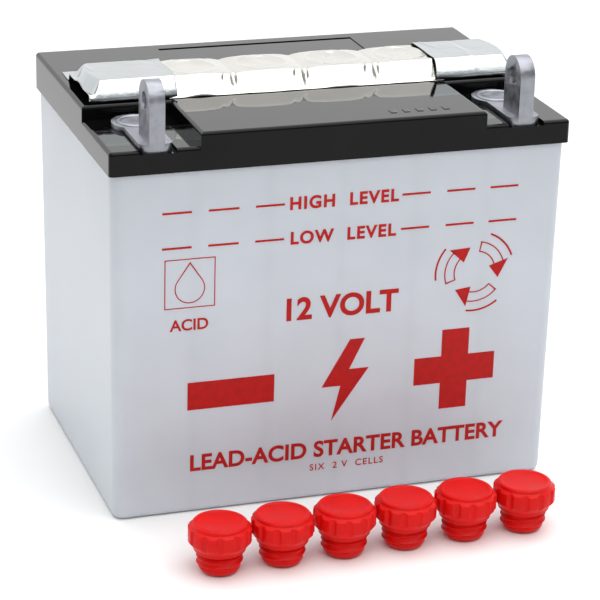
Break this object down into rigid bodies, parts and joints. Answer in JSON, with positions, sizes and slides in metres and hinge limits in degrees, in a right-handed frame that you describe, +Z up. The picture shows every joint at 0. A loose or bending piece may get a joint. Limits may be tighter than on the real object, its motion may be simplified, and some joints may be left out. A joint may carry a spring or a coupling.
{
  "type": "motorcycle battery",
  "caption": "Flooded lead-acid motorcycle battery: milky case, black lid with two upright lead lugs, foil over the filler necks and red screw plugs standing in front.",
  "frame": {"origin": "centre of the case's base, on the surface that the battery stands on", "axes": "+X to the right along the row of cells, towards the right terminal; the printed front faces -Y, with the plugs standing in front of it; +Z up"},
  "size_m": [0.184, 0.1832, 0.175],
  "materials": {
    "case_plastic": "milky translucent polypropylene, satin",
    "lid_plastic": "black moulded plastic, satin to glossy",
    "lead": "cast lead alloy, dull satin",
    "positive_plate": "brown lead dioxide paste, matt",
    "negative_plate": "grey spongy lead, matt",
    "separator": "microporous sheet, matt",
    "seal_rubber": "matt",
    "foil": "bright crumpled foil",
    "plug_plastic": "red moulded plastic, satin to glossy"
  },
  "bodies": {
    "battery": {"container": "case_plastic", "lid": "lid_plastic", "positive_plates_1": "positive_plate", "negative_plates_1": "negative_plate", "separators_1": "separator", "positive_plates_2": "positive_plate", "negative_plates_2": "negative_plate", "separators_2": "separator", "positive_plates_3": "positive_plate", "negative_plates_3": "negative_plate", "separators_3": "separator", "positive_plates_4": "positive_plate", "negative_plates_4": "negative_plate", "separators_4": "separator", "positive_plates_5": "positive_plate", "negative_plates_5": "negative_plate", "separators_5": "separator", "positive_plates_6": "positive_plate", "negative_plates_6": "negative_plate", "separators_6": "separator", "cell_weld_1": "lead", "cell_weld_2": "lead", "cell_weld_3": "lead", "cell_weld_4": "lead", "cell_weld_5": "lead", "post_left": "lead", "post_seal_left": "seal_rubber", "terminal_left": "lead", "post_right": "lead", "post_seal_right": "seal_rubber", "terminal_right": "lead"},
    "foil_seal": {"foil_strip": "foil", "foil_end_strip_left": "foil", "foil_end_strip_right": "foil"},
    "plug_1": {"vent_plug_1": "plug_plastic", "plug_baffle_1": "plug_plastic"},
    "plug_2": {"vent_plug_2": "plug_plastic", "plug_baffle_2": "plug_plastic"},
    "plug_3": {"vent_plug_3": "plug_plastic", "plug_baffle_3": "plug_plastic"},
    "plug_4": {"vent_plug_4": "plug_plastic", "plug_baffle_4": "plug_plastic"},
    "plug_5": {"vent_plug_5": "plug_plastic", "plug_baffle_5": "plug_plastic"},
    "plug_6": {"vent_plug_6": "plug_plastic", "plug_baffle_6": "plug_plastic"}
  },
  "joints": [
    {"name": "foil_lift", "type": "slide", "parent": "battery", "child": "foil_seal", "axis": [0, 0, 1], "range_m": [0, 0.04]},
    {"name": "plug_lift_1", "type": "slide", "parent": "battery", "child": "plug_1", "axis": [0, 0, 1], "range_m": [0, 0.06]},
    {"name": "plug_lift_2", "type": "slide", "parent": "battery", "child": "plug_2", "axis": [0, 0, 1], "range_m": [0, 0.06]},
    {"name": "plug_lift_3", "type": "slide", "parent": "battery", "child": "plug_3", "axis": [0, 0, 1], "range_m": [0, 0.06]},
    {"name": "plug_lift_4", "type": "slide", "parent": "battery", "child": "plug_4", "axis": [0, 0, 1], "range_m": [0, 0.06]},
    {"name": "plug_lift_5", "type": "slide", "parent": "battery", "child": "plug_5", "axis": [0, 0, 1], "range_m": [0, 0.06]},
    {"name": "plug_lift_6", "type": "slide", "parent": "battery", "child": "plug_6", "axis": [0, 0, 1], "range_m": [0, 0.06]}
  ]
}
